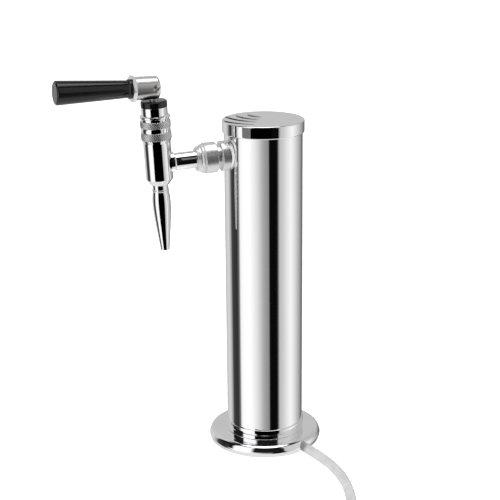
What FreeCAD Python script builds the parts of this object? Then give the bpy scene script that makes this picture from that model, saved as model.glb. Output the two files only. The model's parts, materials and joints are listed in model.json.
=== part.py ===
import FreeCAD, Part
import math
import os

# Single-faucet draft tower. Millimetres, +Z up, the faucet faces -Y.
# The origin is the centre of the mounting face under the base.

Vector = FreeCAD.Vector
Rotation = FreeCAD.Rotation
Placement = FreeCAD.Placement
X_AXIS = Vector(1, 0, 0)
Y_AXIS = Vector(0, 1, 0)
Z_AXIS = Vector(0, 0, 1)
ORIGIN = Vector(0, 0, 0)

# Column, cap and base
column_radius = 38.1
column_wall = 1.5
column_bottom = 21.5
cap_radius = 39.8
cap_skirt = 12.0
cap_plate = 2.5
tower_height = 330.3
flange_radius = 56.6
flange_top = 11.6
flange_rim_top = 11.4
collar_radius = 39.3
spigot_outer = 36.5
spigot_inner = 33.5
spigot_top = 28.0
gasket_inner = 39.0
gasket_outer = 52.0
gasket_depth = 1.5
bolt_circle_radius = 45.0
bolt_hole_radius = 2.1
bolt_hole_depth = 7.0
base_bolts = 4

# Shank and faucet: the tap axis droops slightly from level
tap_height = 297.1
tap_droop = 2.79
body_reach = 65.55
shank_radius = 11.1
shank_bore = 4.0
shank_inner_end = -22.0
shank_outer_end = 22.0
nut_radius = 14.8
collar_front = 5.6
thread_grooves = 3
thread_pitch = 1.3
nut_back = 9.8
nut_front = 29.5
barrel_radius = 8.35
body_radius = 13.0
body_top = 21.0
body_shoulder = -14.3
body_bottom = -19.9
chamber_radius = 9.5
spout_tip = -84.8
spout_bore = 3.5
stem_radius = 4.0
stem_clearance = 0.05
bonnet_radius = 12.35
bonnet_top = 54.9
bonnet_cap_radius = 12.5
bonnet_cap_top = 61.0
knurl_radius = 14.6
knurl_teeth = 56

# Lever: the pivot stands on the plunger stem, the hub's slot straddles it
pivot_height = 72.7
pivot_setback = 1.2
lever_yaw = 5.8
lever_lift = 3.9
hub_radius = 11.0
hub_back = -4.0
hub_front = 19.0
hub_cam_radius = 6.5
slot_half_width = 4.2
pin_radius = 2.0
pin_clearance = 0.04
screw_head_radius = 3.9
screw_seat = 9.0
ferrule_end = 22.7
ferrule_radius = 12.5
grip_end = 94.2
grip_neck_radius = 8.4
grip_end_radius = 11.3

# Beer line
hose_radius = 4.75
hose_bore = 2.4
floor_hose_z = 5.0
outlet_direction = Vector(0.949, 0.314, 0).normalize()
outlet_bend_end = Vector(29.4, 19.1, floor_hose_z)
outlet_bend_radius = 40.0
free_start = Vector(35.0, 21.0, floor_hose_z)
notch_radius = 5.3
elbow_drop = 38.0
elbow_reach = -47.8
elbow_radius = 12.0
tail_radius = 3.1
tail_bore = 2.2

# Stored coil of the line on the floor beside the tower
coil_centre = Vector(231.0, -52.0, 0)
coil_outer_turn = 57.0
coil_inner_turn = 47.0
coil_top_turn = 52.0
coil_top_z = 13.4
coil_start_angle = 65.0
coil_turned = 805.0

PARTS = "parts"


def save(name, shape):
    """Write one sub-part and print whether it is a valid single solid."""
    shape = shape.removeSplitter()
    print(f"{name:20s} valid={shape.isValid()} solids={len(shape.Solids)} volume={shape.Volume:.1f}")
    shape.exportStep(os.path.join(PARTS, name + ".step"))
    return shape


def unit(vector):
    return Vector(vector) * (1.0 / vector.Length)


def corner_arc(before, corner, after, radius):
    """Start, middle and end of the arc that rounds a corner."""
    back = unit(before - corner)
    ahead = unit(after - corner)
    half_turn = (math.pi - back.getAngle(ahead)) / 2
    reach = radius * math.tan(half_turn)
    lift = radius / math.cos(half_turn) - radius
    return corner + back * reach, corner + unit(back + ahead) * lift, corner + ahead * reach


def rounded_edges(corners, closed):
    """Straight edges joined by tangent arcs; each corner is (point, radius)."""
    count = len(corners)
    edges = []
    pen = None if closed else corners[0][0]
    order = range(count) if closed else range(1, count - 1)
    arcs = []
    for index in order:
        corner, radius = corners[index]
        if radius > 0:
            arcs.append(corner_arc(corners[index - 1][0], corner, corners[(index + 1) % count][0], radius))
        else:
            arcs.append((corner, None, corner))
    if closed:
        pen = arcs[-1][2]
    for start, middle, end in arcs:
        if (start - pen).Length > 1e-6:
            edges.append(Part.LineSegment(pen, start).toShape())
        if middle is not None:
            edges.append(Part.Arc(start, middle, end).toShape())
        pen = end
    if not closed and (corners[-1][0] - pen).Length > 1e-6:
        edges.append(Part.LineSegment(pen, corners[-1][0]).toShape())
    return edges


def turned(outline):
    """Solid of revolution about Z from (radius, height[, corner radius]) points."""
    corners = []
    for point in outline:
        rounding = point[2] if len(point) > 2 else 0
        corners.append((Vector(point[0], 0, point[1]), rounding))
    face = Part.Face(Part.Wire(rounded_edges(corners, True)))
    return face.revolve(ORIGIN, Z_AXIS, 360)


def ring(inner, outer, low, high, edge=0):
    """Plain ring or washer about Z."""
    return turned([(inner, low), (outer, low, edge), (outer, high, edge), (inner, high)])


def rod(radius, low, high):
    return Part.makeCylinder(radius, high - low, Vector(0, 0, low))


def cross_rod(radius, x_low, x_high, y=0, z=0):
    """Cylinder along X."""
    return Part.makeCylinder(radius, x_high - x_low, Vector(x_low, y, z), X_AXIS)


def block(x_low, x_high, y_low, y_high, z_low, z_high):
    return Part.makeBox(x_high - x_low, y_high - y_low, z_high - z_low, Vector(x_low, y_low, z_low))


def polar(radius, degrees, z=0):
    return Vector(radius * math.cos(math.radians(degrees)), radius * math.sin(math.radians(degrees)), z)


def polygon_prism(points, low, high):
    wire = Part.makePolygon([Vector(p.x, p.y, low) for p in points + points[:1]])
    return Part.Face(wire).extrude(Vector(0, 0, high - low))


def hexagon(across_flats, low, high, chamfer):
    """Hex prism whose corners are chamfered by a turned blank."""
    corner_radius = across_flats / math.sqrt(3)
    prism = polygon_prism([polar(corner_radius, 60 * k) for k in range(6)], low, high)
    blank = turned([(0, low), (across_flats / 2, low), (corner_radius + 0.2, low + chamfer),
                    (corner_radius + 0.2, high - chamfer), (across_flats / 2, high), (0, high)])
    return prism.common(blank)


def tube_along(corners, outer, inner):
    """Hollow tube along a path of straight runs and tangent arcs."""
    path = Part.Wire(rounded_edges(corners, False))
    start = corners[0][0]
    heading = unit(corners[1][0] - start)
    shapes = []
    for radius in (outer, inner):
        if radius > 0:
            circle = Part.Wire(Part.makeCircle(radius, start, heading))
            shapes.append(path.makePipeShell([circle], True, False))
    tube = shapes[0] if len(shapes) == 1 else shapes[0].cut(shapes[1])
    section = math.pi * (outer ** 2 - inner ** 2)
    print(f"  tube length={path.Length:.1f} volume ratio={tube.Volume / (section * path.Length):.4f}")
    return tube


# The tap frame has its origin where the shank axis meets the column's outside.
# Its -Y runs out along the shank and its +Z runs up the faucet body.
TAP = Placement(Vector(0, -column_radius, tap_height), Rotation(X_AXIS, tap_droop))
SHANK = TAP * Placement(ORIGIN, Rotation(X_AXIS, 90))
BODY = TAP * Placement(Vector(0, -body_reach, 0), Rotation())
PIVOT = TAP * Placement(Vector(0, pivot_setback - body_reach, pivot_height), Rotation(Z_AXIS, lever_yaw))
# In the lever frame +Z runs along the handle and +Y is the handle's upper side.
LEVER = PIVOT * Placement(ORIGIN, Rotation(X_AXIS, 90 - lever_lift))


def placed(shape, placement):
    moved = shape.copy()
    moved.Placement = placement.multiply(moved.Placement)
    return moved


def in_frame_of(shape, placement):
    """The shape as seen from a placed frame."""
    return placed(shape, placement.inverse())


# ---- Base ----

def hose_notch():
    """Round-topped passage for the line, from the base's bore out through its rim."""
    length = 70.0
    start = outlet_bend_end - outlet_direction * 12
    tunnel = Part.makeCylinder(notch_radius, length, start, outlet_direction)
    side = Z_AXIS.cross(outlet_direction)
    corner = Vector(start.x, start.y, -1) - side * notch_radius
    outline = [corner, corner + side * 2 * notch_radius]
    outline += [outline[1] + outlet_direction * length, corner + outlet_direction * length]
    slot = Part.Face(Part.makePolygon(outline + outline[:1])).extrude(Z_AXIS * (floor_hose_z + 1))
    return tunnel.fuse(slot)


def base_flange():
    corners = [(spigot_inner, 0, 0), (flange_radius - 1.5, 0, 1.2), (flange_radius, 5.0, 2.5),
               (flange_radius - 2.4, flange_rim_top, 4.6), (collar_radius, flange_top, 0),
               (spigot_outer, flange_top, 0), (spigot_outer, spigot_top, 0.8), (spigot_inner, spigot_top, 0)]
    flange = turned(corners)
    recess = ring(gasket_inner, gasket_outer, 0, gasket_depth)
    cuts = [recess, hose_notch()]
    for k in range(base_bolts):
        spot = polar(bolt_circle_radius, 45 + 90 * k, 0)
        cuts.append(Part.makeCylinder(bolt_hole_radius, bolt_hole_depth + gasket_depth, spot))
    return flange.cut(cuts)


def base_gasket():
    gasket = ring(gasket_inner, gasket_outer, 0, gasket_depth)
    cuts = [hose_notch()]
    for k in range(base_bolts):
        cuts.append(Part.makeCylinder(bolt_hole_radius, 10, polar(bolt_circle_radius, 45 + 90 * k, -5)))
    return gasket.cut(cuts)


def collar_ring():
    """Trim ring between base and column, with a fine groove at mid height."""
    middle = (flange_top + column_bottom) / 2
    groove = 0.5
    return turned([(spigot_outer, flange_top), (collar_radius, flange_top, 0.5),
                   (collar_radius, middle - groove), (collar_radius - groove, middle),
                   (collar_radius, middle + groove), (collar_radius, column_bottom, 0.6),
                   (spigot_outer, column_bottom)])


# ---- Column ----

def column_tube():
    top = tower_height - cap_plate
    tube = ring(column_radius - column_wall, column_radius, column_bottom, top)
    hole = placed(rod(shank_radius, -12, 12), SHANK)
    return tube.cut(hole)


def column_cap():
    """Lift-off cap: a rounded plate with a skirt over the column's top."""
    skirt_bottom = tower_height - cap_skirt
    skirt_inner = column_radius + 0.25
    return turned([(0, tower_height - cap_plate), (skirt_inner, tower_height - cap_plate),
                   (skirt_inner, skirt_bottom), (cap_radius - 0.5, skirt_bottom),
                   (cap_radius, skirt_bottom + 0.7), (cap_radius, tower_height, 1.1), (0, tower_height)])


def foam_sleeve():
    return ring(17.0, column_radius - column_wall - 0.2, 62, 238)


# ---- Shank, turned along the shank axis: height is the distance out from the column ----

def column_wall_in_shank(radius):
    """The column's cylinder seen from the shank frame."""
    return in_frame_of(Part.makeCylinder(radius, 200, Vector(0, 0, tap_height - 100)), SHANK)


def shank_nipple():
    """Threaded tube through the column wall, with a clamping shoulder behind the collar."""
    thread = turned([(shank_bore, shank_inner_end), (shank_radius, shank_inner_end, 0.8),
                     (shank_radius, shank_outer_end, 0.8), (shank_bore, shank_outer_end)])
    grooves = []
    for k in range(thread_grooves):
        middle = collar_front + thread_pitch * (k + 0.6)
        grooves.append(turned([(shank_radius - 0.4, middle), (shank_radius + 1, middle - 0.7),
                               (shank_radius + 1, middle + 0.7)]))
    return thread.cut(grooves)


def shank_collar():
    """Outer collar, saddle-cut to sit on the column."""
    blank = turned([(shank_radius, -6), (nut_radius - 0.2, -6), (nut_radius - 0.2, collar_front, 0.9),
                    (shank_radius, collar_front)])
    return blank.cut(column_wall_in_shank(column_radius))


def saddle_washer():
    """Curved washer against the inside of the column."""
    blank = ring(shank_radius, 16.0, -8.0, 0)
    return blank.common(column_wall_in_shank(column_radius - column_wall))


def shank_locknut():
    return hexagon(32.0, -15.0, -8.0, 1.0).cut(rod(shank_radius, -20, 0))


def coupling_nut():
    """Spanner nut that draws the faucet onto the shank."""
    nut = turned([(shank_radius, nut_back), (nut_radius, nut_back, 0.5), (nut_radius, 21.6, 0.4),
                  (13.7, 22.4), (13.9, 24.0, 0.8), (12.6, 25.4), (12.4, 26.6), (11.2, nut_front, 0.8),
                  (barrel_radius + 0.15, nut_front), (barrel_radius + 0.15, 26.4), (shank_radius, 26.4)])
    holes = []
    for k in range(4):
        direction = polar(1, 12.7 + 90 * k)
        holes.append(Part.makeCylinder(1.35, 3.0, direction * (nut_radius - 2.4) + Vector(0, 0, 15.7), direction))
    return nut.cut(holes)


def coupling_washer():
    return ring(shank_bore, shank_radius - 0.6, shank_outer_end, 23.4)


# ---- Beer line fittings inside the column ----

def tail_washer():
    return ring(shank_bore, 9.2, shank_inner_end - 1.2, shank_inner_end)


def beer_nut():
    """Hex nut holding the tailpiece on the shank's inner end."""
    end_wall = -27.4
    nut = hexagon(27.0, end_wall, -17.0, 1.2)
    hollow = rod(shank_radius, -24.8, -10)
    return nut.cut([hollow, rod(4.6, -40, -20)])


def elbow_corners():
    start = Vector(0, 0, shank_inner_end - 1.2)
    return [(start, 0), (Vector(0, 0, elbow_reach), elbow_radius), (Vector(0, -elbow_drop, elbow_reach), 0)]


def tailpiece_elbow():
    """Bent tube with a sealing flange and three barbs."""
    corners = elbow_corners()
    start = corners[0][0]
    tube = tube_along(corners, tail_radius, 0)
    flange = rod(9.2, start.z - 1.6, start.z)
    neck = rod(4.5, start.z - 6, start.z)
    solid = tube.fuse([flange, neck])
    for k in range(3):
        top = -elbow_drop + 9 - 3 * k
        barb = Part.makeCone(tail_radius, tail_radius + 0.5, 2.0, Vector(0, top - 2, elbow_reach), Y_AXIS)
        solid = solid.fuse(barb)
    return solid.cut(tube_along(corners, tail_bore, 0))


def band_clamp(length):
    """Stepless band with one crimped ear, about Z, centred on the origin."""
    band = ring(hose_radius, hose_radius + 0.7, -length / 2, length / 2)
    ear = block(-2.6, 2.6, hose_radius + 0.2, hose_radius + 3.0, -length / 2, length / 2)
    gap = block(-1.7, 1.7, hose_radius + 0.7, hose_radius + 2.2, -length, length)
    return band.fuse(ear.cut(gap)).cut(rod(hose_radius, -length, length))


# ---- Faucet, along the body axis: height is measured from the shank axis ----

def faucet_body():
    """Cast body with its inlet barrel, valve chamber and seat."""
    body = turned([(0, body_bottom), (8.6, body_bottom, 0.6), (body_radius, body_shoulder, 1.6),
                   (body_radius, body_top, 0.6), (14.0, 24.2), (0, 24.2)])
    out = body_reach
    barrel = turned([(0, 23.4), (shank_radius - 0.6, 23.4), (shank_radius - 0.6, 26.3, 0.4),
                     (barrel_radius, 26.3), (barrel_radius, out - 15.6, 0.6), (9.9, out - 14.6, 0.5),
                     (9.9, out - 11), (0, out)])
    barrel = in_frame_of(placed(barrel, SHANK), BODY)
    inlet = in_frame_of(placed(rod(shank_bore, 20, out - 4), SHANK), BODY)
    chamber = turned([(0, -13.0), (6.0, -13.0), (chamber_radius, -10.5), (chamber_radius, 16.0),
                      (11.0, 16.0), (11.0, 30.0), (0, 30.0)])
    outlet = rod(6.0, -25, -12)
    return body.fuse(barrel).cut([chamber, outlet, inlet])


def spout():
    """Slender tapered nozzle screwed into the body's lower end."""
    tip = Vector(4.35, 0, spout_tip)
    flank = Part.BSplineCurve()
    flank.interpolate([Vector(7.7, 0, -26.6), Vector(8.75, 0, -41.0), Vector(7.95, 0, -52.4),
                       Vector(5.95, 0, -70.4), tip])
    edges = [flank.toShape()]
    rest = [tip, Vector(spout_bore, 0, spout_tip), Vector(spout_bore, 0, -66), Vector(5.6, 0, -52),
            Vector(5.6, 0, -18.0), Vector(5.9, 0, -13.4), Vector(6.0, 0, -13.4), Vector(6.0, 0, body_bottom),
            Vector(7.6, 0, body_bottom), Vector(7.6, 0, -24.6), Vector(8.2, 0, -25.1), Vector(8.2, 0, -25.9),
            Vector(7.7, 0, -26.6)]
    for start, end in zip(rest, rest[1:]):
        edges.append(Part.LineSegment(start, end).toShape())
    return Part.Face(Part.Wire(Part.sortEdges(edges)[0])).revolve(ORIGIN, Z_AXIS, 360)


def flow_restrictor():
    """Disc with small jets that sits in the spout's neck."""
    disc = rod(5.6, -30.0, -27.0)
    jets = [rod(0.6, -40, -20)]
    for k in range(5):
        jets.append(Part.makeCylinder(0.6, 20, polar(3.2, 72 * k, -40)))
    return disc.cut(jets)


def knurled_band(low, high, inner):
    """Ring whose rim carries straight V-shaped teeth, chamfered at both ends."""
    rim = []
    for k in range(knurl_teeth):
        rim.append(polar(knurl_radius, 360 * k / knurl_teeth))
        rim.append(polar(knurl_radius - 0.6, 360 * (k + 0.5) / knurl_teeth))
    blank = turned([(0, low), (knurl_radius - 0.6, low), (knurl_radius, low + 0.5),
                    (knurl_radius, high - 0.5), (knurl_radius - 0.6, high), (0, high)])
    return polygon_prism(rim, low, high).common(blank).cut(rod(inner, low - 1, high + 1))


def bonnet():
    """Turned bonnet screwed into the body; the stem slides through it."""
    guide = stem_radius + stem_clearance
    return turned([(9.3, 16.2), (10.95, 16.2), (10.95, 24.2), (bonnet_radius, 24.2),
                   (bonnet_radius, bonnet_top, 0.4), (guide, bonnet_top), (guide, 36.0), (9.3, 36.0)])


def body_collar():
    """Smooth collar between the two knurled bands."""
    return turned([(bonnet_radius, 30.8), (13.5, 30.8), (13.9, 31.6, 0.3), (13.9, 35.0, 0.3), (13.5, 35.8),
                   (bonnet_radius, 35.8)])


def adjuster_collar():
    """Stepped collar above the upper knurled band."""
    return turned([(bonnet_radius, 42.2), (13.4, 42.2), (13.4, 44.2), (14.4, 44.9, 0.3), (14.4, 46.6, 0.4),
                   (13.0, 47.3), (bonnet_radius, 47.3)])


def bonnet_cap():
    guide = stem_radius + 0.3
    return turned([(guide, bonnet_top), (bonnet_cap_radius, bonnet_top, 0.3),
                   (bonnet_cap_radius, bonnet_cap_top, 1.6), (guide, bonnet_cap_top, 0.5)])


# ---- Plunger, which rises and falls along the body axis ----

def plunger_stem():
    """Stem with the sealing head below, a piston and the pivot eye on top."""
    stem = turned([(0, -4.4), (7.8, -4.4), (7.8, -2.6), (3.0, -2.0), (3.0, 8.0), (9.3, 8.0),
                   (9.3, 9.2), (8.1, 9.2), (8.1, 11.0), (9.3, 11.0), (9.3, 12.4), (stem_radius, 12.4),
                   (stem_radius, pivot_height + 4.6, 1.6), (0, pivot_height + 4.6)])
    eye = cross_rod(pin_radius + pin_clearance, -20, 20)
    return stem.cut(in_frame_of(placed(eye, PIVOT), BODY))


def seat_seal():
    return turned([(0, -6.4), (6.6, -6.4, 0.5), (7.8, -5.2, 0.3), (7.8, -4.4), (0, -4.4)])


def piston_oring():
    return ring(8.1, 9.4, 9.2, 11.0)


def plunger_spring():
    """Compression spring between the piston and the bonnet."""
    wire_radius = 0.6
    low = 12.4 + wire_radius
    high = 36.0 - wire_radius
    radius = 7.0
    helix = Part.makeHelix((high - low) / 6, high - low, radius)
    helix.translate(Vector(0, 0, low))
    circle = Part.Wire(Part.makeCircle(wire_radius, Vector(radius, 0, low), Y_AXIS))
    return Part.Wire(helix.Edges).makePipeShell([circle], True, True)


# ---- Lever, in the lever frame ----

def lever_hub():
    """Round hub, slotted over the stem, with its lower back corner rounded as a cam."""
    blank = turned([(0, hub_back), (hub_radius, hub_back, 2.6), (hub_radius, hub_front, 0.3), (0, hub_front)])
    reach = 20.0
    outline = [(Vector(-reach, -hub_radius, reach), 0), (Vector(-reach, -hub_radius, hub_back), hub_cam_radius),
               (Vector(-reach, reach, hub_back), 0), (Vector(-reach, reach, reach), 0)]
    cam = Part.Face(Part.Wire(rounded_edges(outline, True))).extrude(Vector(2 * reach, 0, 0))
    slot = block(-slot_half_width, slot_half_width, -12, 6.6, hub_back - 1, 7.2)
    seat = cross_rod(screw_head_radius + 0.1, screw_seat, 14)
    pin_hole = cross_rod(pin_radius, -20, 20)
    stud_hole = rod(3.0, 9.0, 20)
    return blank.common(cam).cut([slot, seat, pin_hole, stud_hole])


def pivot_screw():
    """Slotted screw through hub and stem, its head on the +X side."""
    shank = cross_rod(pin_radius, -9.6, screw_seat)
    head = Part.makeCylinder(screw_head_radius, 2.1, Vector(screw_seat, 0, 0), X_AXIS)
    crown = Part.makeSphere(9.0, Vector(screw_seat + 2.3 - 9.0, 0, 0))
    slot = block(screw_seat + 1.3, screw_seat + 4, -0.55, 0.55, -6, 6)
    slot.rotate(ORIGIN, X_AXIS, 35)
    return shank.fuse(head.common(crown)).cut(slot)


def ferrule_nut():
    """Chamfered hex nut between the hub and the grip."""
    nut = hexagon(2 * ferrule_radius * 0.93, hub_front, ferrule_end, 1.1)
    return nut.cut(rod(3.0, 0, 40))


def handle_stud():
    return rod(3.0, 9.0, 42.0)


def handle_grip():
    """Tapered grip, widest at its free end, with a small lip at the nut."""
    grip = turned([(0, ferrule_end), (9.1, ferrule_end, 0.5), (9.1, ferrule_end + 2.2, 0.6),
                   (grip_neck_radius - 0.3, ferrule_end + 3.4), (grip_neck_radius, ferrule_end + 8),
                   (grip_end_radius, grip_end - 1.5, 1.5), (grip_end_radius - 1.2, grip_end, 0.8), (0, grip_end)])
    return grip.cut(rod(3.0, 0, 42.0))


# ---- Beer line ----

def elbow_end():
    """Where the hose end sits on the elbow, and the direction of its axis there."""
    top = SHANK.multVec(Vector(0, -elbow_drop + 10, elbow_reach))
    bottom = SHANK.multVec(Vector(0, -elbow_drop, elbow_reach))
    return top, unit(bottom - top)


def hose_inner():
    """Line from the elbow's barbs down the column and round into the base's passage."""
    top, heading = elbow_end()
    below = top + heading * 26
    corner = outlet_bend_end - outlet_direction * outlet_bend_radius
    corners = [(top, 0), (below, 150.0), (corner, outlet_bend_radius - 0.5), (free_start, 0)]
    hose = tube_along(corners, hose_radius, hose_bore)
    return hose.cut(placed(tailpiece_elbow(), SHANK))


def free_route():
    """Line from the base out across the floor to the coil."""
    plan = [(35.0, 21.0), (62.0, 30.0), (92.0, 38.2), (124.0, 40.5), (156.0, 36.0), (189.0, 25.6),
            (223.0, 10.4)]
    points = [Vector(x, y, floor_hose_z) for x, y in plan]
    points.append(coil_point(0))
    return points


def coil_point(turned_by):
    """Centre of the line in the coil, after turning clockwise by an angle in degrees."""
    inward = min(max((turned_by - 320) / 80, 0), 1)
    climb = min(max((turned_by - 650) / 90, 0), 1)
    radius = coil_outer_turn + (coil_inner_turn - coil_outer_turn) * inward
    radius += (coil_top_turn - coil_inner_turn) * climb
    height = floor_hose_z + (coil_top_z - floor_hose_z) * climb
    return coil_centre + polar(radius, coil_start_angle - turned_by, height)


def end_route():
    """Line from the coil's top over its outer turn to the fitting on the floor."""
    leave = coil_point(coil_turned)
    angle = math.radians(coil_start_angle - coil_turned)
    heading = Vector(math.sin(angle), -math.cos(angle), 0)
    side = Vector(math.cos(angle), math.sin(angle), 0)
    steps = [(0, 0, 0), (16, 1.0, 1.9), (34, 1.0, 1.9), (56, -2.0, -1.8), (76, -6.0, -1.8)]
    return [leave + heading * ahead + side * out + Z_AXIS * up for ahead, out, up in steps]


def largest_arcs(points):
    """Give each inner point an arc of 0.45 of its shorter run over the tangent of half its turn."""
    corners = [(points[0], 0)]
    for before, point, after in zip(points, points[1:], points[2:]):
        turn = (point - before).getAngle(after - point)
        run = min((point - before).Length, (after - point).Length)
        radius = 0.45 * run / math.tan(turn / 2)
        print(f"  route turn={math.degrees(turn):.1f} radius={radius:.1f}")
        corners.append((point, radius))
    corners.append((points[-1], 0))
    return corners


def hose_coil():
    """Outer shape of the coil: two turns side by side with a third on top."""
    outer = coil_outer_turn + hose_radius
    inner = coil_inner_turn - hose_radius
    top = coil_top_z + hose_radius
    low = floor_hose_z - hose_radius
    outline = [(inner, low, 3.0), (outer, low, 3.0), (outer, 2 * hose_radius, 2.5),
               (coil_top_turn + hose_radius, top, 3.0), (coil_top_turn - hose_radius, top, 3.0),
               (inner, 2 * hose_radius, 2.5)]
    coil = turned(outline)
    coil.translate(coil_centre)
    return coil


def end_frame():
    """Frame of the far-end fitting: +Z runs out of the hose."""
    route = end_route()
    heading = unit(route[-1] - route[-2])
    level = unit(Vector(heading.x, heading.y, 0))
    return Placement(route[-1], Rotation(Z_AXIS.cross(level), Z_AXIS, level, "ZXY"))


def end_tailpiece():
    """Straight barbed tail with a sealing flange."""
    return turned([(tail_bore, -14), (tail_radius, -14), (3.6, -11), (tail_radius, -11), (3.6, -8),
                   (tail_radius, -8), (tail_radius, 0), (4.5, 0), (4.5, 6.0), (8.2, 6.0), (8.2, 8.0),
                   (tail_bore, 8.0)])


def end_nut():
    """Hex nut for the keg coupler, lying on one flat."""
    return hexagon(23.0, 2.0, 16.0, 1.2).cut([rod(4.6, 0, 7), rod(9.0, 6.0, 20)])


def hose_end():
    corners = largest_arcs(end_route())
    hose = tube_along(corners, hose_radius, hose_bore)
    return hose.cut(placed(end_tailpiece(), end_frame()))


def main():
    os.makedirs(PARTS, exist_ok=True)
    save("base_flange", base_flange())
    save("base_gasket", base_gasket())
    save("collar_ring", collar_ring())
    save("column_tube", column_tube())
    save("column_cap", column_cap())
    save("foam_sleeve", foam_sleeve())
    for maker in (shank_nipple, shank_collar, saddle_washer, shank_locknut, coupling_nut, coupling_washer,
                  tail_washer, beer_nut, tailpiece_elbow):
        save(maker.__name__, placed(maker(), SHANK))
    for maker in (faucet_body, spout, flow_restrictor, bonnet, body_collar, adjuster_collar, bonnet_cap,
                  plunger_stem, seat_seal, piston_oring, plunger_spring):
        save(maker.__name__, placed(maker(), BODY))
    save("knurled_ring_lower", placed(knurled_band(24.2, 30.8, bonnet_radius), BODY))
    save("knurled_ring_upper", placed(knurled_band(35.8, 42.2, bonnet_radius), BODY))
    for maker in (lever_hub, pivot_screw, ferrule_nut, handle_stud, handle_grip):
        save(maker.__name__, placed(maker(), LEVER))
    save("hose_inner", hose_inner())
    save("hose_free", tube_along(largest_arcs(free_route()), hose_radius, hose_bore))
    save("hose_coil", hose_coil())
    save("hose_end", hose_end())
    save("end_tailpiece", placed(end_tailpiece(), end_frame()))
    save("end_nut", placed(end_nut(), end_frame()))
    save("end_clamp", placed(band_clamp(6.0), end_frame() * Placement(Vector(0, 0, -7), Rotation())))
    clamp_spot = SHANK * Placement(Vector(0, -elbow_drop + 5, elbow_reach), Rotation(X_AXIS, 90))
    save("tail_clamp", placed(band_clamp(6.0), clamp_spot))
    print("pivot", PIVOT.Base, "hinge axis", PIVOT.Rotation.multVec(X_AXIS * -1))
    print("body axis", TAP.Rotation.multVec(Z_AXIS), "end", end_frame().Base,
          end_frame().Rotation.multVec(Z_AXIS))


main()
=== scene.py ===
import json
import math

import bmesh
import bpy
from mathutils import Matrix, Vector


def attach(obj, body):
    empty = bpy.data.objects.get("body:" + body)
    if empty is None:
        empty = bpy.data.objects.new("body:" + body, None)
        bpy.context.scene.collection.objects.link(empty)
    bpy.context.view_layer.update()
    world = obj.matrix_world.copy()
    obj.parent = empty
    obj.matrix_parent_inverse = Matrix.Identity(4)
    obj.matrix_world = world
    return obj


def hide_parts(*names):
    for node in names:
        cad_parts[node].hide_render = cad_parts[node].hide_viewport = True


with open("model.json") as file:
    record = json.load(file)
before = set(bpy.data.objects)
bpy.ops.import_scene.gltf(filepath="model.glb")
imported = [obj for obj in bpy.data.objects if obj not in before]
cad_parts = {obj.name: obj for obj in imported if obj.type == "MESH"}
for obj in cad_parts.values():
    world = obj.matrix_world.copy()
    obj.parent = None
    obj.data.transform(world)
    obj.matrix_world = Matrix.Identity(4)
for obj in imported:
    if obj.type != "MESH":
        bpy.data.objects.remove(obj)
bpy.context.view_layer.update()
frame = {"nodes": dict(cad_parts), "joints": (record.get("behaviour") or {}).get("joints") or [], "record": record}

# Places and sizes of the object are in millimetres and turned into metres by MM.
# Camera places are in metres.
MM = 0.001
Z_UP = Vector((0, 0, 1))
joints = {joint["name"]: joint for joint in frame["joints"]}

# ---- Camera: it stands to the right of the faucet and looks down on the tower ----

CAMERA_AZIMUTH = math.radians(73.3)
CAMERA_DISTANCE = 1.2367
CAMERA_HEIGHT = 0.5805
CAMERA_YAW = -0.0111
CAMERA_PITCH = 0.2993
CAMERA_ROLL = -0.0084
CAMERA_LENS = 94.32
CAMERA_SENSOR = 36
CAMERA_NEAREST = 0.01


def make_camera():
    camera = bpy.data.objects.new("camera", bpy.data.cameras.new("camera"))
    bpy.context.scene.collection.objects.link(camera)
    turn = Matrix.Rotation(CAMERA_AZIMUTH, 3, "Z")
    forward = Vector((math.sin(CAMERA_YAW) * math.cos(CAMERA_PITCH),
                      math.cos(CAMERA_YAW) * math.cos(CAMERA_PITCH), -math.sin(CAMERA_PITCH)))
    right = Vector((math.cos(CAMERA_YAW), -math.sin(CAMERA_YAW), 0))
    up = right.cross(forward)
    cos_roll = math.cos(CAMERA_ROLL)
    sin_roll = math.sin(CAMERA_ROLL)
    rolled_right = turn @ (right * cos_roll + up * sin_roll)
    rolled_up = turn @ (up * cos_roll - right * sin_roll)
    axes = Matrix((rolled_right, rolled_up, -(turn @ forward))).transposed()
    place = turn @ Vector((0, -CAMERA_DISTANCE, CAMERA_HEIGHT))
    camera.matrix_world = Matrix.Translation(place) @ axes.to_4x4()
    camera.data.lens = CAMERA_LENS
    camera.data.sensor_width = CAMERA_SENSOR
    camera.data.clip_start = CAMERA_NEAREST
    bpy.context.scene.camera = camera


make_camera()


# ---- Free beer line: out of the base, across the floor, coiled, ending in its nut ----

HOSE_RADIUS = 4.75 * MM
FLOOR_HOSE_Z = 5.0
COIL_CENTRE = Vector((231.0, -52.0, 0))
COIL_OUTER_TURN = 57.0
COIL_INNER_TURN = 47.0
COIL_TOP_TURN = 52.0
COIL_TOP_Z = 13.4
COIL_START_ANGLE = 65.0
COIL_TURNED = 805.0
COIL_STEP = 23.0
# Angles along the coil, in degrees, where the line moves to the inner turn and climbs to the top turn
INWARD_FROM = 320
INWARD_SPAN = 80
CLIMB_FROM = 650
CLIMB_SPAN = 90
# Route beside the base, and route past the coil as (ahead, outward, upward) steps
HOSE_FREE_PLAN = [(35.0, 21.0), (62.0, 30.0), (92.0, 38.2), (124.0, 40.5), (156.0, 36.0), (189.0, 25.6),
                  (223.0, 10.4)]
HOSE_END_STEPS = [(16, 1.0, 1.9), (34, 1.0, 1.9), (56, -2.0, -1.8), (76, -6.0, -1.8)]


def polar(radius, degrees, z=0.0):
    angle = math.radians(degrees)
    return Vector((radius * math.cos(angle), radius * math.sin(angle), z))


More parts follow.
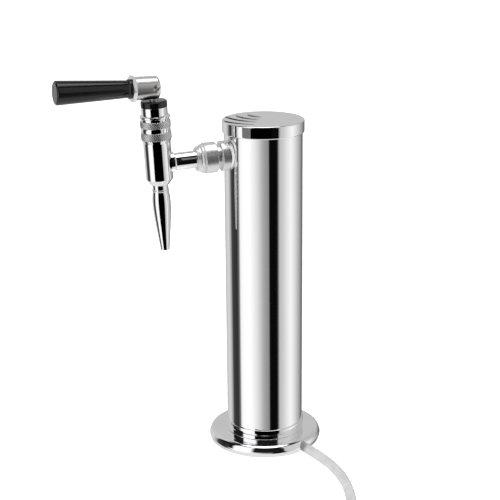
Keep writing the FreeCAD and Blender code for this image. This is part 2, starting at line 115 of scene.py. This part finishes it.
def coil_point(turned_by):
    """Centre of the line in the coil, after turning clockwise by an angle in degrees."""
    inward = min(max((turned_by - INWARD_FROM) / INWARD_SPAN, 0), 1)
    climb = min(max((turned_by - CLIMB_FROM) / CLIMB_SPAN, 0), 1)
    radius = COIL_OUTER_TURN + (COIL_INNER_TURN - COIL_OUTER_TURN) * inward
    radius += (COIL_TOP_TURN - COIL_INNER_TURN) * climb
    height = FLOOR_HOSE_Z + (COIL_TOP_Z - FLOOR_HOSE_Z) * climb
    return COIL_CENTRE + polar(radius, COIL_START_ANGLE - turned_by, height)


def hose_route():
    """Control points in millimetres, from the base to the far-end fitting."""
    points = [Vector((x, y, FLOOR_HOSE_Z)) for x, y in HOSE_FREE_PLAN]
    points += [coil_point(COIL_STEP * step) for step in range(int(COIL_TURNED / COIL_STEP) + 1)]
    leave = coil_point(COIL_TURNED)
    angle = math.radians(COIL_START_ANGLE - COIL_TURNED)
    heading = Vector((math.sin(angle), -math.cos(angle), 0))
    side = Vector((math.cos(angle), math.sin(angle), 0))
    points += [leave + heading * ahead + side * out + Z_UP * rise for ahead, out, rise in HOSE_END_STEPS]
    return points


def nurbs_line(name, points, radius):
    """Round line through control points. Each point carries the radius, so the curve's own bounds hold it."""
    curve = bpy.data.curves.new(name, "CURVE")
    curve.dimensions = "3D"
    curve.bevel_depth = 1.0
    curve.bevel_resolution = 8
    curve.resolution_u = 10
    curve.use_fill_caps = True
    spline = curve.splines.new("NURBS")
    spline.points.add(len(points) - 1)
    for control, point in zip(spline.points, points):
        control.co = (point.x * MM, point.y * MM, point.z * MM, 1)
        control.radius = radius
    spline.order_u = 3
    spline.use_endpoint_u = True
    line = bpy.data.objects.new(name, curve)
    bpy.context.scene.collection.objects.link(line)
    return line


hose = nurbs_line("beer_line", hose_route(), HOSE_RADIUS)
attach(hose, "tower")
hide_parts("hose_free", "hose_coil", "hose_end")


# ---- Faucet body's frame in metres, from the CAD joints: its axis leans and its origin is at the shank ----

PIVOT_HEIGHT = 72.7
PIVOT_SETBACK = 1.2

body_axis = Vector(joints["plunger_lift"]["axis"])
pivot = Vector(joints["lever_tilt"]["pos_m"])
droop = Matrix.Rotation(math.atan2(-body_axis.y, body_axis.z), 4, "X")
below_pivot = Matrix.Translation(Vector((0, -PIVOT_SETBACK, -PIVOT_HEIGHT)) * MM)
BODY = Matrix.Translation(pivot) @ droop @ below_pivot


# ---- Materials ----

NOISE_DETAIL = 3.0
NOISE_LOW = 0.3
NOISE_HIGH = 0.7
TINT_LOW = 0.35
TINT_HIGH = 0.65
GRAIN_DEPTH = 0.0001


def new_material(name):
    material = bpy.data.materials.new(name)
    material.use_nodes = True
    return material, material.node_tree.nodes, material.node_tree.links


def object_noise(nodes, links, scale, stretch=(1, 1, 1)):
    """Noise in the piece's own coordinates, stretched along an axis for turned or drawn metal."""
    coordinate = nodes.new("ShaderNodeTexCoord")
    mapping = nodes.new("ShaderNodeMapping")
    mapping.inputs["Scale"].default_value = stretch
    noise = nodes.new("ShaderNodeTexNoise")
    noise.inputs["Scale"].default_value = scale
    noise.inputs["Detail"].default_value = NOISE_DETAIL
    links.new(coordinate.outputs["Object"], mapping.inputs["Vector"])
    links.new(mapping.outputs["Vector"], noise.inputs["Vector"])
    return noise


def drive(nodes, links, source, low, high, target):
    """Spread a noise over a range of values and feed it to a shader socket."""
    spread = nodes.new("ShaderNodeMapRange")
    spread.inputs["From Min"].default_value = NOISE_LOW
    spread.inputs["From Max"].default_value = NOISE_HIGH
    spread.inputs["To Min"].default_value = low
    spread.inputs["To Max"].default_value = high
    links.new(source, spread.inputs["Value"])
    links.new(spread.outputs["Result"], target)


def tint(nodes, links, source, dark, light, target):
    """Let a noise wander between two colours and feed it to a shader socket."""
    ramp = nodes.new("ShaderNodeValToRGB")
    ramp.color_ramp.elements[0].position = TINT_LOW
    ramp.color_ramp.elements[0].color = (*dark, 1)
    ramp.color_ramp.elements[1].position = TINT_HIGH
    ramp.color_ramp.elements[1].color = (*light, 1)
    links.new(source, ramp.inputs["Fac"])
    links.new(ramp.outputs["Color"], target)


def add_bump(nodes, links, source, strength, distance):
    bump = nodes.new("ShaderNodeBump")
    bump.inputs["Strength"].default_value = strength
    bump.inputs["Distance"].default_value = distance
    links.new(source, bump.inputs["Height"])
    links.new(bump.outputs["Normal"], nodes["Principled BSDF"].inputs["Normal"])


def surface(name, dark, light, rough, scale, metallic=1.0, stretch=(1, 1, 1), bump=0.0,
            bump_depth=GRAIN_DEPTH):
    """A procedural finish: colour and roughness drift with noise, and a bump where the surface has grain."""
    material, nodes, links = new_material(name)
    shader = nodes["Principled BSDF"]
    shader.inputs["Metallic"].default_value = metallic
    noise = object_noise(nodes, links, scale, stretch)
    tint(nodes, links, noise.outputs["Fac"], dark, light, shader.inputs["Base Color"])
    drive(nodes, links, noise.outputs["Fac"], rough[0], rough[1], shader.inputs["Roughness"])
    if bump > 0:
        add_bump(nodes, links, noise.outputs["Fac"], bump, bump_depth)
    return material


def clear_vinyl():
    """Soft clear tube, slightly clouded."""
    material, nodes, links = new_material("clear_vinyl")
    shader = nodes["Principled BSDF"]
    shader.inputs["Transmission Weight"].default_value = 0.6
    shader.inputs["IOR"].default_value = 1.18
    noise = object_noise(nodes, links, 90.0)
    tint(nodes, links, noise.outputs["Fac"], (0.72, 0.73, 0.73), (0.84, 0.84, 0.84),
         shader.inputs["Base Color"])
    drive(nodes, links, noise.outputs["Fac"], 0.06, 0.16, shader.inputs["Roughness"])
    return material


# One finish for each material slot: darker and lighter colour, roughness range, noise scale
materials = {
    "chrome_bright": surface("chrome_bright", (0.93, 0.93, 0.94), (0.95, 0.95, 0.96), (0.02, 0.05), 25),
    "column_chrome": surface("column_chrome", (0.93, 0.93, 0.94), (0.95, 0.95, 0.96), (0.03, 0.06), 40,
                             stretch=(1, 1, 0.05)),
    "satin_nickel": surface("satin_nickel", (0.84, 0.84, 0.84), (0.94, 0.94, 0.94), (0.30, 0.38), 900,
                            bump=0.06, bump_depth=0.00005),
    "knurled_steel": surface("knurled_steel", (0.66, 0.66, 0.66), (0.84, 0.84, 0.84), (0.20, 0.32), 800),
    "brushed_hub": surface("brushed_hub", (0.76, 0.72, 0.71), (0.82, 0.78, 0.77), (0.26, 0.32), 260,
                           stretch=(1, 0.06, 1), bump=0.04, bump_depth=0.00005),
    "ferrule_steel": surface("ferrule_steel", (0.84, 0.84, 0.84), (0.92, 0.92, 0.92), (0.05, 0.12), 300),
    "steel": surface("steel", (0.80, 0.80, 0.81), (0.90, 0.90, 0.90), (0.26, 0.36), 400),
    "brass": surface("brass", (0.66, 0.60, 0.48), (0.76, 0.71, 0.60), (0.18, 0.32), 300),
    "black_plastic": surface("black_plastic", (0.002, 0.002, 0.002), (0.004, 0.004, 0.004), (0.10, 0.16), 120,
                             metallic=0.0),
    "black_cap": surface("black_cap", (0.002, 0.002, 0.002), (0.004, 0.004, 0.004), (0.12, 0.22), 500,
                         metallic=0.0, bump=0.03),
    "seal_rubber": surface("seal_rubber", (0.020, 0.020, 0.020), (0.032, 0.032, 0.032), (0.55, 0.75), 600,
                           metallic=0.0, bump=0.15),
    "foam": surface("foam", (0.20, 0.20, 0.21), (0.34, 0.34, 0.35), (0.85, 0.98), 450, metallic=0.0,
                    bump=0.6, bump_depth=0.0006),
    "vinyl": clear_vinyl(),
}

node_slots = {part["node"]: part["material_slot"] for part in frame["record"]["subparts"]}
for node, slot_name in node_slots.items():
    cad = frame["nodes"][node]
    cad.data.materials.clear()
    cad.data.materials.append(materials[slot_name])
hose.data.materials.append(materials["vinyl"])

# The line and its fitting lie outside the view, so the polished metal doesn't mirror them either.
hose.visible_glossy = False
for node in ("end_nut", "end_tailpiece", "end_clamp"):
    frame["nodes"][node].visible_glossy = False


# ---- Knurled rings: turned meshes with crossed grooves cut into the rim ----

BONNET_RADIUS = 12.35
KNURL_RADIUS = 14.6
KNURL_DEPTH = 0.55
KNURL_AROUND = 44
KNURL_LEAD = 0.42
RIM_RADIUS = KNURL_RADIUS - 0.1
RIM_ROWS = 14
CHAMFER_RADIUS = KNURL_RADIUS - 0.6
CHAMFER_HEIGHT = 0.5
RING_SEGMENTS = 352
SHARP_ANGLE = math.radians(50)


def saw(value):
    """Triangle wave from 0 on the crests to 1 in the grooves."""
    return abs(2 * (value - math.floor(value + 0.5)))


def diamond(angle, radius, height):
    """Radius with the crossed helical grooves cut into the rim; the rest of the ring keeps its own."""
    if radius < KNURL_RADIUS - KNURL_DEPTH:
        return radius
    around = KNURL_AROUND * angle / (2 * math.pi)
    lead = height * KNURL_LEAD
    groove = max(saw(around + lead), saw(around - lead))
    return radius - KNURL_DEPTH * groove ** 2


def ring_row(build, radius, height):
    """One circle of vertices of the ring, in the faucet body's frame."""
    row = []
    for step in range(RING_SEGMENTS):
        angle = 2 * math.pi * step / RING_SEGMENTS
        carved = diamond(angle, radius, height)
        place = Vector((carved * math.cos(angle), carved * math.sin(angle), height)) * MM
        row.append(build.verts.new(BODY @ place))
    return row


def ring_mesh(name, outline):
    """Closed ring turned from (radius, height) points, smooth apart from its sharp edges."""
    build = bmesh.new()
    rows = [ring_row(build, radius, height) for radius, height in outline]
    for row, above in zip(rows, rows[1:] + rows[:1]):
        for step in range(RING_SEGMENTS):
            after = (step + 1) % RING_SEGMENTS
            build.faces.new((row[step], row[after], above[after], above[step]))
    bmesh.ops.recalc_face_normals(build, faces=build.faces)
    for face in build.faces:
        face.smooth = True
    for edge in build.edges:
        if edge.calc_face_angle(0) > SHARP_ANGLE:
            edge.smooth = False
    mesh = bpy.data.meshes.new(name)
    build.to_mesh(mesh)
    build.free()
    return mesh


def knurled_ring(node, low, high):
    rim_height = high - low - 2 * CHAMFER_HEIGHT
    rim = [(RIM_RADIUS, low + CHAMFER_HEIGHT + rim_height * row / RIM_ROWS) for row in range(RIM_ROWS + 1)]
    outline = [(BONNET_RADIUS, low), (CHAMFER_RADIUS, low), *rim, (CHAMFER_RADIUS, high),
               (BONNET_RADIUS, high)]
    name = node + "_diamond"
    ring = bpy.data.objects.new(name, ring_mesh(name, outline))
    bpy.context.scene.collection.objects.link(ring)
    ring.data.materials.append(materials["knurled_steel"])
    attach(ring, "tower")
    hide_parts(node)


knurled_ring("knurled_ring_lower", 24.2, 30.8)
knurled_ring("knurled_ring_upper", 35.8, 42.2)


# ---- Floor, light and surroundings ----

FLOOR_REACH = 4.0
FLOOR_GLOW = 0.75


def make_floor():
    """Plain white floor with a faint glow of its own, left out of the mirror surfaces."""
    mesh = bpy.data.meshes.new("floor")
    corners = [(-FLOOR_REACH, -FLOOR_REACH, 0), (FLOOR_REACH, -FLOOR_REACH, 0),
               (FLOOR_REACH, FLOOR_REACH, 0), (-FLOOR_REACH, FLOOR_REACH, 0)]
    mesh.from_pydata(corners, [], [(0, 1, 2, 3)])
    floor = bpy.data.objects.new("floor", mesh)
    bpy.context.scene.collection.objects.link(floor)
    material, nodes, links = new_material("floor_white")
    shader = nodes["Principled BSDF"]
    shader.inputs["Base Color"].default_value = (0.9, 0.9, 0.9, 1)
    shader.inputs["Roughness"].default_value = 0.9
    shader.inputs["Specular IOR Level"].default_value = 0.1
    shader.inputs["Emission Color"].default_value = (1, 1, 1, 1)
    shader.inputs["Emission Strength"].default_value = FLOOR_GLOW
    mesh.materials.append(material)
    floor.visible_glossy = False


# Light level of the studio against the angle from the camera's own direction, in degrees:
# first below eye level, where the upright surfaces look, then above it.
LOW_SURROUND = [(-180, 0.50), (-158, 0.56), (-129, 0.70), (-118, 0.45), (-108, 0.05), (-88, 0.03),
                (-80, 0.15), (-74, 0.95), (-60, 1.08), (-40, 1.04), (-22, 0.80), (-12, 0.62), (-3, 0.43),
                (6, 0.33), (14, 0.27), (17, 0.003), (42, 0.003), (46, 0.45), (50, 0.56), (57, 0.62),
                (75, 0.86), (87, 0.98), (100, 0.82), (115, 0.60), (135, 0.34), (152, 0.12), (172, 0.40),
                (180, 0.50)]
HIGH_SURROUND = [(-180, 0.55), (-150, 0.58), (-112, 0.62), (-106, 0.01), (-70, 0.01), (-64, 1.08),
                 (-30, 1.08), (-22, 0.01), (38, 0.01), (42, 0.60), (80, 0.66), (120, 0.48), (150, 0.50),
                 (180, 0.55)]
# Light level against height, from straight down (0) to straight up (1), and where it takes over.
OVERHEAD = [(0.0, 0.8), (0.2, 0.8), (0.26, 0.02), (0.95, 0.02), (0.965, 2.6), (1.0, 2.6)]
OVERHEAD_MASK = [(0.0, 1.0), (0.14, 1.0), (0.19, 0.0), (0.88, 0.0), (0.92, 1.0), (1.0, 1.0)]
# Height, as the sine of the elevation, over which the low surround gives way to the high one
HIGH_STARTS = 0.02
HIGH_FULL = 0.12
BACKDROP_STRENGTH = 1.1


def grey_ramp(nodes, links, value, levels):
    ramp = nodes.new("ShaderNodeValToRGB")
    stops = ramp.color_ramp.elements
    while len(stops) < len(levels):
        stops.new(0.5)
    for stop, (position, grey) in zip(stops, levels):
        stop.position = position
        stop.color = (grey, grey, grey, 1)
    links.new(value, ramp.inputs["Fac"])
    return ramp.outputs["Color"]


def around(levels):
    """Turn stops given in degrees into ramp positions."""
    return [((degrees + 180) / 360, grey) for degrees, grey in levels]


def spread_from(nodes, links, source, low, high):
    """Map the range low to high onto 0 to 1."""
    spread = nodes.new("ShaderNodeMapRange")
    spread.inputs["From Min"].default_value = low
    spread.inputs["From Max"].default_value = high
    links.new(source, spread.inputs["Value"])
    return spread.outputs["Result"]


def mix_colours(nodes, links, factor, first, second):
    mix = nodes.new("ShaderNodeMix")
    mix.data_type = "RGBA"
    links.new(factor, mix.inputs["Factor"])
    links.new(first, mix.inputs["A"])
    links.new(second, mix.inputs["B"])
    return mix.outputs["Result"]


def angle_around(nodes, links, direction):
    """Turn about the vertical from the photograph's camera side, from 0 at -180 to 1 at 180 degrees."""
    flip = nodes.new("ShaderNodeMath")
    flip.operation = "MULTIPLY"
    flip.inputs[1].default_value = -1
    links.new(direction.outputs["Y"], flip.inputs[0])
    angle = nodes.new("ShaderNodeMath")
    angle.operation = "ARCTAN2"
    links.new(direction.outputs["X"], angle.inputs[0])
    links.new(flip.outputs[0], angle.inputs[1])
    return spread_from(nodes, links, angle.outputs[0], -math.pi, math.pi)


def make_world():
    """Studio of soft grey and white panels for the metal to mirror, behind a plain white backdrop."""
    world = bpy.data.worlds.new("studio")
    bpy.context.scene.world = world
    world.use_nodes = True
    nodes = world.node_tree.nodes
    links = world.node_tree.links
    coordinate = nodes.new("ShaderNodeTexCoord")
    rotate = nodes.new("ShaderNodeVectorRotate")
    rotate.rotation_type = "Z_AXIS"
    rotate.inputs["Angle"].default_value = -CAMERA_AZIMUTH
    links.new(coordinate.outputs["Generated"], rotate.inputs["Vector"])
    direction = nodes.new("ShaderNodeSeparateXYZ")
    links.new(rotate.outputs["Vector"], direction.inputs["Vector"])

    turn = angle_around(nodes, links, direction)
    low = grey_ramp(nodes, links, turn, around(LOW_SURROUND))
    high = grey_ramp(nodes, links, turn, around(HIGH_SURROUND))
    rise = spread_from(nodes, links, direction.outputs["Z"], HIGH_STARTS, HIGH_FULL)
    surround = mix_colours(nodes, links, rise, low, high)
    height = spread_from(nodes, links, direction.outputs["Z"], -1, 1)
    mask = grey_ramp(nodes, links, height, OVERHEAD_MASK)
    studio = mix_colours(nodes, links, mask, surround, grey_ramp(nodes, links, height, OVERHEAD))

    background = nodes["Background"]
    links.new(studio, background.inputs["Color"])
    white = nodes.new("ShaderNodeBackground")
    white.inputs["Color"].default_value = (1, 1, 1, 1)
    white.inputs["Strength"].default_value = BACKDROP_STRENGTH
    path = nodes.new("ShaderNodeLightPath")
    backdrop = nodes.new("ShaderNodeMixShader")
    links.new(path.outputs["Is Camera Ray"], backdrop.inputs["Fac"])
    links.new(background.outputs[0], backdrop.inputs[1])
    links.new(white.outputs[0], backdrop.inputs[2])
    links.new(backdrop.outputs[0], nodes["World Output"].inputs["Surface"])


# ---- Painted reflections: small flag cards close to the polished parts, hidden from the camera, for one part each to mirror ----

TOWARD_CAMERA = polar(1, math.degrees(CAMERA_AZIMUTH) - 90)
TO_THE_RIGHT = polar(1, math.degrees(CAMERA_AZIMUTH))


def painted_reflection_material(name, level, reach):
    """Painted reflection material: an even grey glow, and clear to every ray longer than reach in mm."""
    material, nodes, links = new_material(name)
    nodes.remove(nodes["Principled BSDF"])
    glow = nodes.new("ShaderNodeEmission")
    glow.inputs["Color"].default_value = (level, level, level, 1)
    clear = nodes.new("ShaderNodeBsdfTransparent")
    path = nodes.new("ShaderNodeLightPath")
    near = nodes.new("ShaderNodeMath")
    near.operation = "LESS_THAN"
    near.inputs[1].default_value = reach * MM
    mix = nodes.new("ShaderNodeMixShader")
    # Longer rays pass through, so only the part next to the card shows this painted reflection
    links.new(path.outputs["Ray Length"], near.inputs[0])
    links.new(near.outputs[0], mix.inputs["Fac"])
    links.new(clear.outputs[0], mix.inputs[1])
    links.new(glow.outputs[0], mix.inputs[2])
    links.new(mix.outputs[0], nodes["Material Output"].inputs["Surface"])
    return material


def painted_reflection_card(name, places, faces, level, reach):
    """Painted reflection card that only mirror surfaces within reach can see."""
    mesh = bpy.data.meshes.new(name)
    mesh.from_pydata(places, [], faces)
    mesh.materials.append(painted_reflection_material(name, level, reach))
    card = bpy.data.objects.new(name, mesh)
    bpy.context.scene.collection.objects.link(card)
    card.visible_camera = False
    card.visible_diffuse = False
    card.visible_shadow = False
    card.visible_transmission = False


def painted_reflection_band(name, centre, across, low, high, ahead, level, reach):
    """Upright painted-reflection card ahead of a centre, on the camera's side; low is given at its left and right
    ends.
    """
    left, right = across
    places = []
    for side, height in ((left, low[0]), (right, low[1]), (right, high), (left, high)):
        place = centre + (TOWARD_CAMERA * ahead + TO_THE_RIGHT * side) * MM
        places.append((place.x, place.y, height * MM))
    painted_reflection_card(name, places, [(0, 1, 2, 3)], level, reach)


# Dark arcs painted as a reflection on the cap's flat top, from cards above it that the camera can't see
CAP_TOP = 330.3
CRESCENT_RADII = (19.0, 32.0, 44.0, 58.0)
CRESCENT_LIFT = 20.0
# A ray from the camera that bounces off the cap's top has gone this far back when it has risen by the lift.
CRESCENT_SHIFT = 99.0
# Common centre of the painted reflection arcs on the cap's top: to the right of its middle, and away from the
# camera
CRESCENT_SIDE = 2.0
CRESCENT_DEPTH = 28.0
CRESCENT_START = 196
CRESCENT_SWEEP = 64
CRESCENT_HALF_WIDTH = 2.2
CRESCENT_TIP = 0.15
CRESCENT_TAPER = 0.7
CRESCENT_STEPS = 20
# Near-black grey of the painted reflection arcs
PAINTED_ARC_REFLECTION_LEVEL = 0.004
CRESCENT_SIGHT = 130


def make_cap_arc_reflections():
    """Painted reflection: dark crescents hung over the far side of the cap, for its flat top to mirror."""
    for index, radius in enumerate(CRESCENT_RADII):
        places = []
        for step in range(CRESCENT_STEPS + 1):
            share = step / CRESCENT_STEPS
            angle = math.radians(CRESCENT_START + CRESCENT_SWEEP * share)
            half = CRESCENT_HALF_WIDTH * math.sin(math.pi * share) ** CRESCENT_TAPER + CRESCENT_TIP
            for reach in (radius - half, radius + half):
                side = CRESCENT_SIDE + reach * math.cos(angle)
                depth = CRESCENT_DEPTH + reach * math.sin(angle)
                place = TO_THE_RIGHT * side - TOWARD_CAMERA * (depth + CRESCENT_SHIFT)
                places.append((place.x * MM, place.y * MM, (CAP_TOP + CRESCENT_LIFT) * MM))
        faces = [(2 * k, 2 * k + 1, 2 * k + 3, 2 * k + 2) for k in range(CRESCENT_STEPS)]
        painted_reflection_card(f"cap_painted_reflection_arc_{index}", places, faces, PAINTED_ARC_REFLECTION_LEVEL, CRESCENT_SIGHT)


def make_painted_reflections():
    body_centre = BODY @ Vector((0, 0, 0))
    column_centre = Vector((0, 0, 0))
    # Black cards paint dark reflection bands on the faucet body, the cap's side and the collar; a glowing grey
    # card paints a grey band on the cap beside the black one
    painted_reflection_band("faucet_painted_reflection", body_centre, across=(-15, 21), low=(190, 190), high=352, ahead=30,
              level=0, reach=46)
    painted_reflection_band("cap_painted_reflection_black", column_centre, across=(-26, 15), low=(313.4, 314.2), high=331, ahead=58,
              level=0, reach=32)
    painted_reflection_band("cap_painted_reflection_grey", column_centre, across=(-62, -26), low=(309.2, 313.4), high=331, ahead=58,
              level=0.18, reach=50)
    painted_reflection_band("collar_painted_reflection", column_centre, across=(-16, 14), low=(12.5, 12.5), high=17, ahead=48,
              level=0, reach=20)
    make_cap_arc_reflections()


make_floor()
make_world()
make_painted_reflections()
bpy.context.scene.view_settings.view_transform = "Standard"

bpy.context.view_layer.update()
